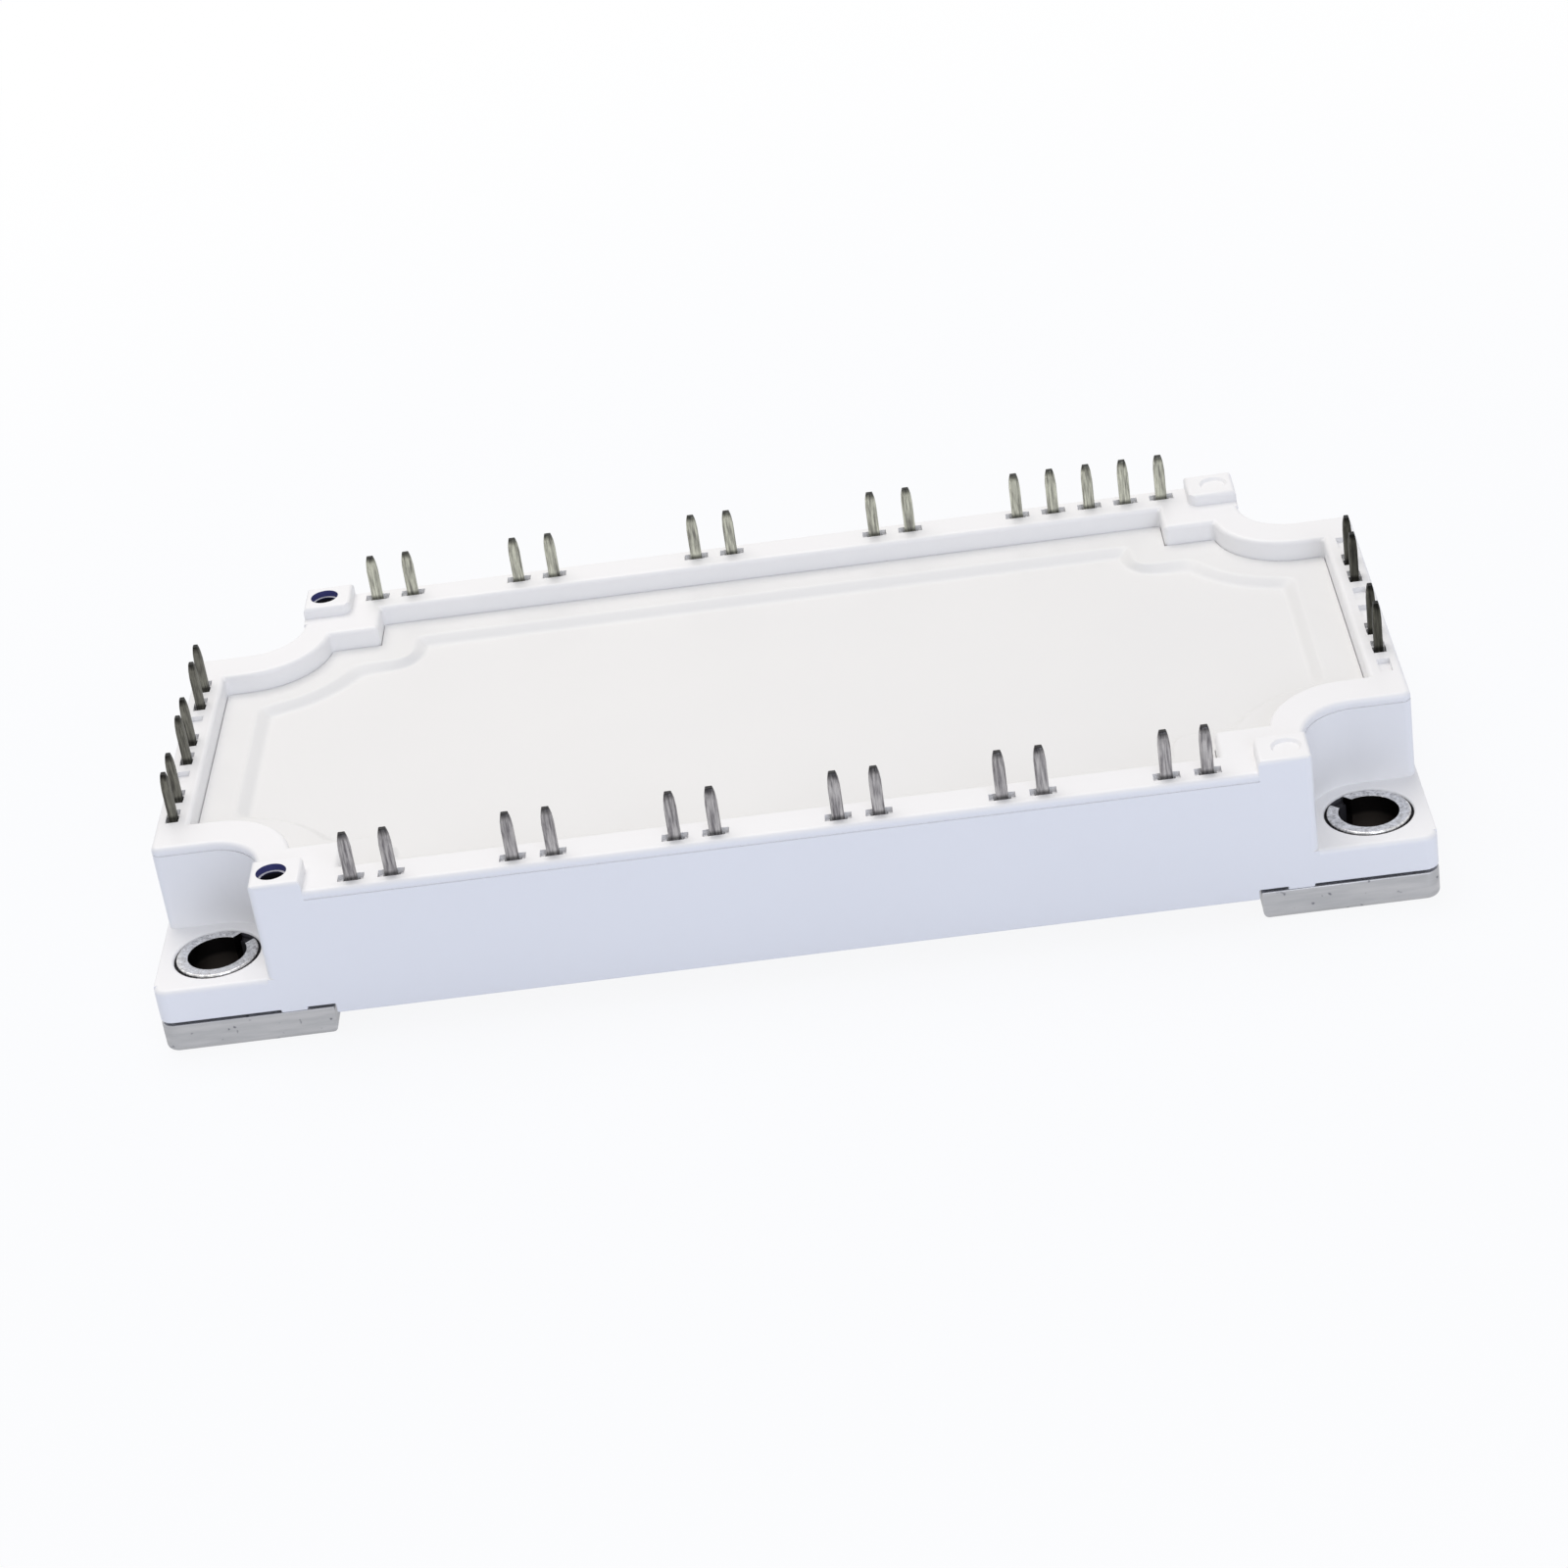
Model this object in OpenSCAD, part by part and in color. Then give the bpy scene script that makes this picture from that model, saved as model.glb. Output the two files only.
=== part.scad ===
// Power module with 35 solder pins: a moulded frame and lid on a metal baseplate, for a circuit board
// above it and a heat sink below it.
// X runs along the module, +Y points to the row of 13 pins, and Z is up. The origin is the middle of
// the underside of the baseplate.

/* [Baseplate] */
// Length of the module over its mounting ears
module_len = 121.2; // [120.8:0.1:123]
// Width of the module over its long walls
module_w = 62; // [61.6:0.1:63]
// Thickness of the baseplate
plate_t = 3; // [2.6:0.1:4]
// Radius of the vertical corners of the baseplate and of the plastic ears
ear_corner_r = 1.4; // [0.8:0.1:2]
// How far the long sides of the baseplate are set back between the ears
plate_setback = 5.6; // [5.2:0.1:6]
// Length of each mounting ear along the long side
ear_len = 16.7; // [16:0.1:17.4]
// Rounding that punching leaves on the lower edge of the baseplate
plate_edge_r = 0.6; // [0.3:0.1:1]

/* [Mounting holes] */
// Distance of the mounting holes from the ends of the module
hole_in_x = 5.6; // [5.4:0.1:6]
// Distance of the mounting holes from the long sides of the module
hole_in_y = 6; // [5.6:0.1:6.4]
// Diameter of the mounting holes in the baseplate
hole_d = 5.5; // [5:0.1:5.6]
// Bore of the metal bush in each plastic ear
bush_bore_d = 5.7; // [5.4:0.1:6]
// Outer diameter of the bush below its flange
bush_d = 7; // [6.6:0.1:7.4]
// Diameter of the flange of the bush
bush_flange_d = 7.9; // [7.6:0.1:8.2]
// Gap between the flange of the bush and the plastic ear
bush_flange_gap = 0.25; // [0.1:0.05:0.4]
// Thickness of the flange of the bush
bush_flange_t = 0.8; // [0.5:0.1:1.2]
// Width of the slit in the rolled bush
bush_slit = 1.9; // [1.5:0.1:2.2]
// Direction of the slit, from the long axis towards the middle of the module
bush_slit_angle = 44; // [40:1:50]
// How far the flange of the bush stands above the ear
bush_proud = 0.05; // [0.05:0.05:0.3]
// Gap between the bush below its flange and the plastic ear
bush_gap = 0.05; // [0.03:0.01:0.1]

/* [Frame] */
// How far the short walls stand back from the ends of the ears
wall_back = 0.25; // [0.2:0.05:0.4]
// Size of each corner recess along the module
recess_len = 10.85; // [10.6:0.05:11.2]
// Size of each corner recess across the module
recess_w = 11.5; // [11.2:0.05:12]
// Radius in the inner corner of each corner recess
recess_r = 5.3; // [4.8:0.1:5.6]
// Radius of the outer vertical corners of the frame
frame_corner_r = 0.8; // [0.7:0.1:1.2]
// Height of the top of the ears
ear_top = 6.8; // [6.4:0.1:7.4]
// Height of the rim that the pins come out of
rim_top = 15.8; // [15.2:0.1:16.2]
// Width of the rim along the long walls
rim_long_w = 4.3; // [4:0.1:4.6]
// Width of the rim along the short walls
rim_short_w = 3.35; // [3.1:0.05:3.6]
// Rounding of the outer edge of the rim and of the ears
rim_edge_r = 0.5; // [0.3:0.1:0.7]
// Distance from the top of the rim down to the crease in its outer face
crease_drop = 0.7; // [0.6:0.1:1]
// Height of the crease
crease_h = 0.2; // [0.1:0.05:0.3]
// Depth of the crease
crease_depth = 0.15; // [0.1:0.05:0.25]
// Gap between the underside of the frame and the baseplate
ear_gap = 0.3; // [0.2:0.05:0.5]
// Width of the small pad that closes this gap at the root of each ear
ear_pad_w = 2.5; // [1.5:0.1:3]
// How far the long walls reach down past the top of the baseplate
skirt_drop = 0.7; // [0.4:0.1:1.2]
// Gap between the skirt and the edges of the baseplate
skirt_gap = 0.2; // [0.1:0.05:0.3]

/* [Standoffs] */
// Height above the rim of the standoffs that carry the circuit board
standoff_h = 1.2; // [0.8:0.1:1.6]
// Side of each square standoff
standoff_w = 5; // [4.8:0.1:5]
// Radius of the two inner corners of a standoff
standoff_corner_r = 1.2; // [0.8:0.1:1.6]
// How far the screw hole lies outwards from the middle of its standoff
screw_out = 0.4; // [0:0.1:0.5]
// Mouth of the screw hole in a standoff
screw_mouth_d = 2.9; // [2.6:0.1:3.2]
// Depth of the mouth of the screw hole
screw_mouth_h = 0.7; // [0.6:0.1:1.2]
// Diameter of the screw hole below its mouth
screw_hole_d = 2.4; // [2.2:0.1:2.5]
// Depth of the screw hole
screw_hole_h = 8; // [6:0.5:9]
// Depth of the dimple that marks a closed standoff
dimple_h = 0.3; // [0.2:0.1:0.5]

/* [Lid] */
// How far the border of the lid lies below the rim
lid_drop = 2.1; // [1.6:0.1:2.6]
// Thickness of the lid at its border
lid_t = 2.2; // [1.8:0.1:2.6]
// Width of the border of the lid
lid_border = 3.4; // [3:0.1:4]
// Depth of the middle of the lid below its border
lid_dish = 0.9; // [0.5:0.1:1.2]
// Gap between the lid and the frame
lid_gap = 0.12; // [0.05:0.01:0.2]
// Width of the ledge in the frame that the lid lies on
lid_ledge = 1.2; // [0.8:0.1:1.4]
// Length of each corner block that stands into the lid, from the corner recess
block_len = 8.1; // [7.6:0.1:8.4]
// Width of each corner block, from the outer face of the long wall
block_w = 9; // [8.6:0.1:9.2]
// Distance between the corner recess and the bend of the rim round it
block_wall = 3; // [2.8:0.1:3.2]
// Radius of the bend that the rim makes round each corner recess
bend_r = 8; // [7.6:0.1:8.4]
// Distance across the long axis between the corner recess and the end of this bend
bend_wall = 4.5; // [4.35:0.05:4.65]

/* [Pins] */
// Spacing of the pin grid
pin_grid = 3.81; // [3.75:0.01:3.85]
// Distance of the front and rear rows of pins from the outer face of their wall
long_row_in = 1.75; // [1.6:0.05:2]
// Distance of the left and right rows of pins from the outer face of their wall
short_row_in = 1.55; // [1.45:0.05:1.65]
// Height of the tips of the pins above the standoffs
pin_reach = 3.6; // [3:0.1:5]
// Width of a pin along its row
pin_w = 1.15; // [1:0.05:1.25]
// Thickness of a pin across its row, and of its foot inside the frame
pin_t = 0.8; // [0.7:0.05:1]
// Height of the bevelled tip of a pin
pin_tip_h = 1.4; // [0.8:0.1:1.6]
// How much the width of the tip narrows on each side
pin_tip_in = 0.25; // [0.15:0.05:0.35]
// How much the thickness of the tip narrows on each side
pin_tip_thin = 0.15; // [0.05:0.05:0.25]
// Gap between a pin and the frame
pin_gap = 0.05; // [0.03:0.01:0.1]
// Length of the pocket in the rim at each pin, and at each unused place in the short walls
pocket_len = 2.5; // [2.2:0.1:2.8]
// Width of the pocket
pocket_w = 1.25; // [1.1:0.05:1.4]
// Depth of the pocket
pocket_h = 0.5; // [0.3:0.1:0.8]
// Gap between a pin and the mouth of its hole
mouth_gap = 0.25; // [0.1:0.05:0.3]
// Depth of this mouth below the rim
mouth_h = 1.2; // [0.9:0.1:1.6]

/* [Inside] */
// Thickness of the frame between the cavity and a corner recess
cavity_wall = 4.3; // [3.8:0.1:4.8]
// Gap between the outermost side pins and the sides of the cavity's two bays
bay_gap = 0.3; // [0.1:0.1:0.5]
// Height of the ledge that the feet of the pins lie on, above the underside of the frame
foot_ledge_h = 3.9; // [3.4:0.1:4.4]
// Width of this ledge
foot_ledge_w = 2.9; // [2.4:0.1:3.2]
// Distance between the end of a foot and the edge of its ledge
foot_back = 0.5; // [0.3:0.1:0.8]
// Distance of the bead of adhesive from the cavity and from the edge of the baseplate
bead_back = 0.2; // [0.1:0.1:0.4]
// Gap between two ceramic substrates
substrate_gap = 0.6; // [0.4:0.1:0.8]
// Gap between the outer substrates and the ends of the cavity
substrate_end_gap = 0.8; // [0.5:0.1:1.2]
// Gap between the substrates and the long sides of the cavity
substrate_side_gap = 2.1; // [1.5:0.1:2.4]
// Thickness of the ceramic
ceramic_t = 0.4; // [0.3:0.05:0.6]
// Thickness of each copper layer on the ceramic
copper_t = 0.3; // [0.2:0.05:0.4]
// Bare border of ceramic round the copper
copper_margin = 0.7; // [0.5:0.1:1]
// Gap between two copper tracks
track_gap = 0.9; // [0.7:0.1:1.2]
// Width of the outer tracks that the wires of the pins end on
pin_track_w = 3; // [2.6:0.1:3.4]
// Side of a transistor chip, as a share of the width of its track
transistor_share = 0.84; // [0.7:0.01:0.9]
// Side of a diode chip, as a share of the width of its track
diode_share = 0.68; // [0.5:0.01:0.7]
// Thickness of the chips
chip_t = 0.25; // [0.2:0.05:0.35]
// Thickness of the bond wires
wire_d = 0.4; // [0.3:0.05:0.5]
// Height of a bond wire's loop
wire_loop = 1.6; // [1.2:0.1:2]
// Spacing of the three wires that join two chips
wire_pitch = 1.6; // [1.2:0.1:2]
// Distance between the end of a foot and the start of its wire
wire_back = 0.5; // [0.3:0.1:0.8]
// Length of the thermistor, across the gap that it bridges
thermistor_len = 3.2; // [2.4:0.2:4]
// Width of the thermistor
thermistor_w = 1.6; // [1.2:0.1:2]
// Height of the thermistor
thermistor_h = 1.1; // [0.8:0.1:1.4]
// Gap between the gel and the lid
gel_gap = 1.1; // [0.8:0.1:1.4]

/* [Hidden] */
$fn = 48;
eps = 0.01;
// Number of straight runs that the curve of a bond wire is drawn with
wire_steps = 10;

// Baseplate and frame
ear_in = module_len / 2 - ear_len;
plate_waist_w = module_w - 2 * plate_setback;
hole_x = module_len / 2 - hole_in_x;
hole_y = module_w / 2 - hole_in_y;
frame_z = plate_t + ear_gap;
frame_len = module_len - 2 * wall_back;
bush_top = ear_top + bush_proud;
recess_x = frame_len / 2 - recess_len;
recess_y = module_w / 2 - recess_w;
standoff_x = recess_x - standoff_w / 2;
standoff_y = module_w / 2 - standoff_w / 2;
standoff_top = rim_top + standoff_h;
screw_x = standoff_x + screw_out;
rim_run_x = 2 * (recess_x - standoff_w);
rim_run_y = 2 * (recess_y - frame_corner_r);
crease_z = rim_top - crease_drop - crease_h;

// Pins: places along each row, in steps of the pin grid, as far as the straight stretch of rim goes
function fitting(slots, run) = [for (s = slots) if (2 * abs(s) * pin_grid + pocket_len <= run) s];
front_slots = fitting([for (pair = [0:5], side = [0, 1]) 4 * pair + side - 10.5], rim_run_x);
rear_slots = fitting([-11, -10, -7, -6, -2, -1, 3, 4, 7, 8, 9, 10, 11], rim_run_x);
left_slots = fitting([-3.5, -2.5, -0.5, 0.5, 2.5, 3.5], rim_run_y);
left_vacant = fitting([-1.5, 1.5], rim_run_y);
right_slots = fitting([-2.5, -1.5, 1.5, 2.5], rim_run_y);
right_vacant = fitting([-3.5, -0.5, 0.5, 3.5], rim_run_y);
pin_row_y = module_w / 2 - long_row_in;
pin_row_x = frame_len / 2 - short_row_in;
pin_top = standoff_top + pin_reach;

// Opening for the lid: half sizes of its middle, of the part between the corner blocks, and of its bays
opening_y = module_w / 2 - rim_long_w;
opening_x = frame_len / 2 - rim_short_w;
block_y = module_w / 2 - block_w;
block_out = recess_x - block_wall;
block_in = recess_x - block_len;
bend_x = block_out + bend_r;
bend_y = recess_y - bend_wall + bend_r;

// Inside: the cavity has a middle and two bays, which reach between the corner recesses
lid_top = rim_top - lid_drop;
lid_seat = lid_top - lid_t;
gel_top = lid_seat - gel_gap;
ledge_y = opening_y - lid_ledge;
ledge_x = opening_x - lid_ledge;
foot_ledge = frame_z + foot_ledge_h;
cavity_y = ledge_y - foot_ledge_w;
cavity_x = recess_x - cavity_wall;
bay_x = ledge_x - foot_ledge_w;
bay_y = max(concat(left_slots, right_slots)) * pin_grid + pin_w / 2 + bay_gap;
foot_end_y = cavity_y + foot_back;
foot_end_x = bay_x + foot_back;
bead_w = plate_waist_w / 2 - cavity_y - 2 * bead_back;
copper_z = plate_t;
ceramic_z = copper_z + copper_t;
track_z = ceramic_z + ceramic_t;
chip_z = track_z + copper_t;
chip_top = chip_z + chip_t;
substrate_len = 2 * (cavity_x - substrate_end_gap - substrate_gap) / 3;
substrate_w = 2 * (cavity_y - substrate_side_gap);
copper_len = substrate_len - 2 * copper_margin;
copper_w = substrate_w - 2 * copper_margin;
substrate_step = substrate_len + substrate_gap;
chip_x = copper_len / 4;

// Copies a corner's feature to all four corners
module at_corners() {
    for (mx = [0, 1], my = [0, 1]) mirror([mx, 0, 0]) mirror([0, my, 0]) children();
}

// Rectangle with round corners, as an outline
module rounded_rectangle(l, w, r) {
    difference() {
        square([l, w], center = true);
        at_corners() translate([l / 2, w / 2]) rounding(r);
    }
}

// What a rounding takes off a square corner at the origin, with the material on its left and below
module rounding(r) {
    difference() {
        translate([-r, -r]) square(r + eps);
        translate([-r, -r]) circle(r);
    }
}

// Runs a profile along X from the origin. The profile's X becomes Y, and its Y becomes Z
module along_x(l) {
    rotate([90, 0, 90]) linear_extrude(l) children();
}

// Baseplate: punched plate with four ears and a mounting hole in each
module plate_outline() {
    difference() {
        rounded_rectangle(module_len, module_w, ear_corner_r);
        for (m = [0, 1]) mirror([0, m])
            translate([-ear_in, plate_waist_w / 2]) square([2 * ear_in, plate_setback + eps]);
    }
}

module baseplate() {
    color("#b4b6ba") difference() {
        linear_extrude(plate_t) plate_outline();
        at_corners() translate([hole_x, hole_y, -eps])
            cylinder(d = hole_d, h = plate_t + 2 * eps);
        // Rounded lower edge along the ears and the short sides
        at_corners() {
            translate([ear_in - eps, module_w / 2, 0])
                along_x(ear_len - ear_corner_r + eps) mirror([0, 1]) rounding(plate_edge_r);
            translate([module_len / 2 - ear_corner_r, module_w / 2 - ear_corner_r, 0])
                rotate_extrude(angle = 90) translate([ear_corner_r, 0]) mirror([0, 1]) rounding(plate_edge_r);
            translate([module_len / 2, module_w / 2 - ear_corner_r, 0])
                rotate([90, 0, 0]) linear_extrude(module_w / 2 - ear_corner_r)
                    mirror([0, 1]) rounding(plate_edge_r);
        }
    }
}

// Outline of the frame above its ears, with a recess for a screw head at each corner
module frame_outline() {
    difference() {
        union() {
            square([frame_len, 2 * recess_y], center = true);
            square([2 * recess_x, module_w], center = true);
            at_corners() translate([recess_x - eps, recess_y - eps]) square(recess_r + eps);
        }
        at_corners() {
            translate([recess_x + recess_r, recess_y + recess_r]) circle(recess_r);
            translate([frame_len / 2, recess_y]) rounding(frame_corner_r);
            translate([recess_x, module_w / 2]) rounding(frame_corner_r);
        }
    }
}

// Opening of the frame for the lid, drawn in by a margin
module lid_opening(margin) {
    bay_w = 2 * (block_y - margin);
    square([2 * (block_in - margin), 2 * (opening_y - margin)], center = true);
    difference() {
        square([2 * (opening_x - margin), bay_w], center = true);
        at_corners() {
            translate([bend_x, bend_y]) circle(bend_r + margin);
            translate([bend_x, bend_y - bend_r - margin]) square([frame_len / 2, bend_r + margin]);
        }
    }
}

// Runs a profile along the outer edge of the rim. The face of the wall is at X = 0 of the profile, with
// the plastic on its left, and Y is the height
module along_rim() {
    for (m = [0, 1]) {
        mirror([0, m, 0]) translate([-rim_run_x / 2, module_w / 2, 0]) along_x(rim_run_x) children();
        mirror([m, 0, 0]) translate([frame_len / 2, rim_run_y / 2, 0])
            rotate([90, 0, 0]) linear_extrude(rim_run_y) children();
    }
    at_corners() {
        translate([frame_len / 2 - frame_corner_r, recess_y - frame_corner_r, 0])
            rotate_extrude(angle = 90) translate([frame_corner_r, 0]) children();
        translate([recess_x + recess_r, recess_y, 0])
            along_x(frame_len / 2 - frame_corner_r - recess_x - recess_r) children();
        translate([recess_x + recess_r, recess_y + recess_r, 0]) rotate([0, 0, 180])
            rotate_extrude(angle = 90) translate([recess_r, 0]) mirror([1, 0]) children();
    }
}

// Standoff in the corner between +X and +Y, with all its top edges rounded
module standoff() {
    half = standoff_w / 2;
    difference() {
        translate([standoff_x, standoff_y, rim_top - eps]) linear_extrude(standoff_top - rim_top + eps)
            difference() {
                square(standoff_w, center = true);
                translate([half, half]) rounding(frame_corner_r);
                rotate([0, 0, 180]) translate([half, half]) rounding(standoff_corner_r);
            }
        translate([standoff_x, standoff_y, standoff_top]) for (turn = [0:90:270]) rotate([0, 0, turn])
            translate([-half - eps, half, 0]) along_x(standoff_w + 2 * eps) rounding(rim_edge_r);
    }
}

// Screw hole of an open standoff
module screw_hole() {
    translate([screw_x, standoff_y, standoff_top - screw_mouth_h])
        cylinder(d = screw_mouth_d, h = screw_mouth_h + eps);
    translate([screw_x, standoff_y, standoff_top - screw_hole_h])
        cylinder(d = screw_hole_d, h = screw_hole_h);
}

// Dimple of a closed standoff
module dimple() {
    translate([screw_x, standoff_y, standoff_top - dimple_h])
        cylinder(d1 = screw_hole_d, d2 = screw_mouth_d, h = dimple_h + eps);
}

// Slot for a pin whose row lies at a distance out from the middle. The inner wall that the foot passes
// through is at a distance ledge
module pin_slot(out, ledge) {
    translate([-pin_w / 2 - pin_gap, out - pin_t / 2 - pin_gap, foot_ledge])
        cube([pin_w + 2 * pin_gap, pin_t + 2 * pin_gap, rim_top]);
    translate([-pin_w / 2 - pin_gap, ledge - eps, foot_ledge])
        cube([pin_w + 2 * pin_gap, out - ledge, pin_t + pin_gap]);
    translate([-pin_w / 2 - mouth_gap, out - pin_t / 2 - mouth_gap, rim_top - mouth_h])
        cube([pin_w + 2 * mouth_gap, pin_t + 2 * mouth_gap, mouth_h + eps]);
    pocket(out);
}

// Pocket in the rim, also cut where a short wall has a place without a pin
module pocket(out) {
    translate([-pocket_len / 2, out - pocket_w / 2, rim_top - pocket_h])
        cube([pocket_len, pocket_w, pocket_h + eps]);
}

// Puts a child at each slot of a row
module in_front_row(slots) { for (s = slots) translate([s * pin_grid, 0, 0]) mirror([0, 1, 0]) children(); }
module in_rear_row(slots) { for (s = slots) translate([s * pin_grid, 0, 0]) children(); }
module in_left_row(slots) { for (s = slots) translate([0, s * pin_grid, 0]) rotate([0, 0, 90]) children(); }
module in_right_row(slots) { for (s = slots) translate([0, s * pin_grid, 0]) rotate([0, 0, -90]) children(); }

// Outline of the lower cavity, grown by a margin
module cavity_outline(margin) {
    square([2 * (cavity_x + margin), 2 * (cavity_y + margin)], center = true);
    square([2 * (bay_x + margin), 2 * (bay_y + margin)], center = true);
}

// Frame: one moulding with the walls, ears, standoffs, ledges and slots
module frame_shell() {
    // Ears and foot of the walls
    translate([0, 0, frame_z]) linear_extrude(ear_top - frame_z)
        rounded_rectangle(module_len, module_w, ear_corner_r);
    translate([0, 0, ear_top - eps]) linear_extrude(rim_top - ear_top + eps) frame_outline();
    at_corners() standoff();
    // Skirt that covers the set-back sides of the baseplate
    for (m = [0, 1]) mirror([0, m, 0])
        translate([-ear_in + skirt_gap, plate_waist_w / 2 + skirt_gap, plate_t - skirt_drop])
            cube([2 * (ear_in - skirt_gap), plate_setback - skirt_gap, skirt_drop + ear_gap + eps]);
    // Pads at the root of the ears
    at_corners() translate([ear_in + ear_pad_w, module_w / 2 - ear_pad_w, plate_t])
        cube([ear_pad_w, ear_pad_w, ear_gap + eps]);
}

module housing_frame() {
    color("#eaebed") difference() {
        frame_shell();
        // Rounded edge of the rim and the crease below it
        along_rim() translate([0, rim_top]) rounding(rim_edge_r);
        along_rim() translate([-crease_depth, crease_z]) square([crease_depth + eps, crease_h]);
        // Rounded upper edge of the ears
        at_corners() {
            translate([recess_x, module_w / 2, ear_top])
                along_x(module_len / 2 - ear_corner_r - recess_x) rounding(rim_edge_r);
            translate([module_len / 2 - ear_corner_r, module_w / 2 - ear_corner_r, ear_top])
                rotate_extrude(angle = 90) translate([ear_corner_r, 0]) rounding(rim_edge_r);
        }
        // Seat of the lid, ledge of the pins' feet and lower cavity
        translate([0, 0, lid_seat]) linear_extrude(rim_top) lid_opening(0);
        translate([0, 0, foot_ledge]) linear_extrude(lid_seat - foot_ledge + eps) {
            square([2 * cavity_x, 2 * ledge_y], center = true);
            square([2 * ledge_x, 2 * bay_y], center = true);
        }
        translate([0, 0, frame_z - eps]) linear_extrude(foot_ledge - frame_z + 2 * eps) cavity_outline(0);
        // Holes for the bushes
        at_corners() translate([hole_x, hole_y, 0]) {
            translate([0, 0, plate_t]) cylinder(d = bush_d + 2 * bush_gap, h = ear_top);
            translate([0, 0, bush_top - bush_flange_t - bush_gap])
                cylinder(d = bush_flange_d + 2 * bush_flange_gap, h = bush_flange_t + bush_gap);
        }
        // Screw holes of the two open standoffs, and dimples of the two closed ones
        for (m = [0, 1]) mirror([0, m, 0]) {
            mirror([1, 0, 0]) screw_hole();
            dimple();
        }
        in_front_row(front_slots) pin_slot(pin_row_y, ledge_y);
        in_rear_row(rear_slots) pin_slot(pin_row_y, ledge_y);
        in_left_row(left_slots) pin_slot(pin_row_x, ledge_x);
        in_right_row(right_slots) pin_slot(pin_row_x, ledge_x);
        in_left_row(left_vacant) pocket(pin_row_x);
        in_right_row(right_vacant) pocket(pin_row_x);
    }
}

// Lid: plate that fills the opening, with a shallow dish
module lid() {
    color("#e6e7e9") difference() {
        translate([0, 0, lid_seat]) linear_extrude(lid_t) lid_opening(lid_gap);
        translate([0, 0, lid_top - lid_dish]) linear_extrude(lid_dish + eps) lid_opening(lid_border);
    }
}

// Bush: rolled metal sleeve with a flange and a slit, which keeps the screw's load off the plastic
module bush() {
    color("#c3c4c6") translate([hole_x, hole_y, 0]) difference() {
        union() {
            translate([0, 0, plate_t]) cylinder(d = bush_d, h = bush_top - plate_t);
            translate([0, 0, bush_top - bush_flange_t]) cylinder(d = bush_flange_d, h = bush_flange_t);
        }
        translate([0, 0, plate_t - eps]) cylinder(d = bush_bore_d, h = bush_top);
        rotate([0, 0, 180 + bush_slit_angle]) translate([0, -bush_slit / 2, plate_t - eps])
            cube([bush_flange_d, bush_slit, bush_top]);
    }
}

// Pin in the rear row: a post with a bevelled tip, and a foot that points inwards
module pin(out, foot_end) {
    half_t = pin_t / 2;
    half_w = pin_w / 2;
    shoulder = pin_top - pin_tip_h;
    color("#8f8f86") intersection() {
        // Side view: the post, its foot, and the tip seen from the side
        translate([-half_w, 0, 0]) along_x(pin_w) polygon([
            [foot_end, foot_ledge], [out + half_t, foot_ledge], [out + half_t, shoulder],
            [out + half_t - pin_tip_thin, pin_top], [out - half_t + pin_tip_thin, pin_top],
            [out - half_t, shoulder], [out - half_t, foot_ledge + pin_t],
            [foot_end, foot_ledge + pin_t]
        ]);
        // Front view: the tip seen along the foot
        translate([0, out + pin_t, 0]) rotate([90, 0, 0]) linear_extrude(out) polygon([
            [-half_w, foot_ledge - eps], [half_w, foot_ledge - eps], [half_w, shoulder],
            [half_w - pin_tip_in, pin_top], [-half_w + pin_tip_in, pin_top], [-half_w, shoulder]
        ]);
    }
}

// Bead of adhesive between the frame and the baseplate
module frame_adhesive() {
    color("#d8d8d2") translate([0, 0, plate_t]) linear_extrude(ear_gap) difference() {
        cavity_outline(bead_back + bead_w);
        cavity_outline(bead_back);
    }
}

// Ceramic substrates: three in a row, numbered -1, 0 and 1 along the module
module ceramic(place) {
    color("#f2efe8") translate([place * substrate_step, 0, ceramic_z])
        linear_extrude(ceramic_t) square([substrate_len, substrate_w], center = true);
}

// Rows of chips on a substrate: the rectifier's substrate has one more than the others
function row_count(place) = place < 0 ? 4 : 3;
function row_pitch(place) = (copper_w - 2 * pin_track_w - track_gap) / row_count(place);
function row_y(place, row) = (row - (row_count(place) - 1) / 2) * row_pitch(place);
function track_w(place) = row_pitch(place) - track_gap;
function transistor_w(place) = transistor_share * track_w(place);
function diode_w(place) = diode_share * track_w(place);

// Copper on a substrate: one sheet below it, and above it a track for each row of chips and for the pins
module copper(place) {
    color("#c98a5a") translate([place * substrate_step, 0, 0]) {
        translate([0, 0, copper_z]) linear_extrude(copper_t) square([copper_len, copper_w], center = true);
        translate([0, 0, track_z]) linear_extrude(copper_t) {
            for (row = [0:row_count(place) - 1]) translate([0, row_y(place, row)])
                square([copper_len, track_w(place)], center = true);
            for (m = [0, 1]) mirror([0, m])
                translate([0, (copper_w - pin_track_w) / 2]) square([copper_len, pin_track_w], center = true);
        }
    }
}

// One square chip at a place, side (-1 or 1) and row
module chip(place, side, row, w) {
    translate([place * substrate_step + side * chip_x - w / 2, row_y(place, row) - w / 2, chip_z])
        cube([w, w, chip_t]);
}

module transistor_chips() {
    color("#8d9096") {
        for (place = [0, 1], row = [0:2]) chip(place, -1, row, transistor_w(place));
        chip(-1, -1, 0, transistor_w(-1));
    }
}

module freewheel_diodes() {
    color("#a3a6ab") {
        for (place = [0, 1], row = [0:2]) chip(place, 1, row, diode_w(place));
        chip(-1, 1, 0, diode_w(-1));
    }
}

module rectifier_diodes() {
    color("#9a9da3") for (side = [-1, 1], row = [1:3]) chip(-1, side, row, diode_w(-1));
}

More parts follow.
